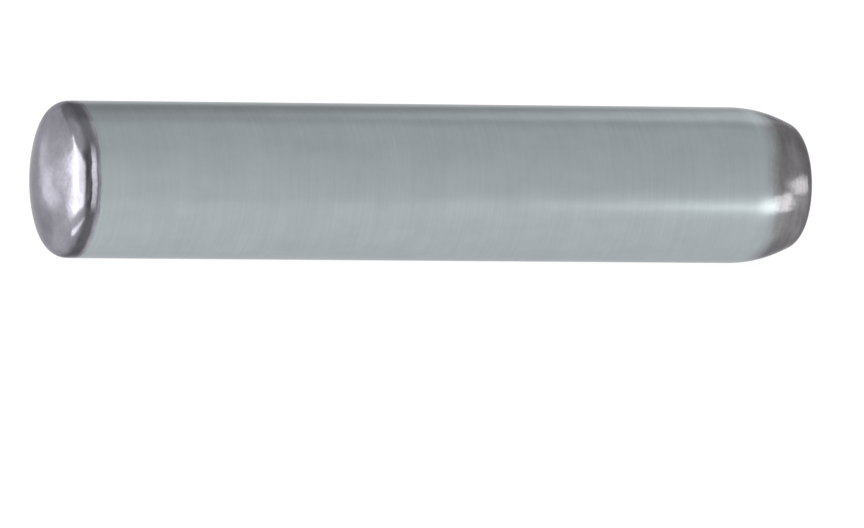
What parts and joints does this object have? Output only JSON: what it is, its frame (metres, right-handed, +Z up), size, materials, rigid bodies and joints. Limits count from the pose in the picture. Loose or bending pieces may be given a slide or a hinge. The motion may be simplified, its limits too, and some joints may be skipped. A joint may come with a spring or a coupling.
{
  "type": "dowel pin",
  "caption": "Straight hardened steel dowel pin with a ground shank, a domed crown at one end and a tapered lead-in at the other.",
  "frame": {"origin": "on the pin's axis, half way along its overall length", "axes": "+X along the axis towards the tapered lead-in end; +Z up as the pin lies in the picture"},
  "size_m": [0.0516, 0.01, 0.01],
  "materials": {
    "ground_steel": "ground satin shank with smoother, brighter tumbled ends"
  },
  "bodies": {
    "root": {"dowel_pin": "ground_steel"}
  },
  "joints": []
}
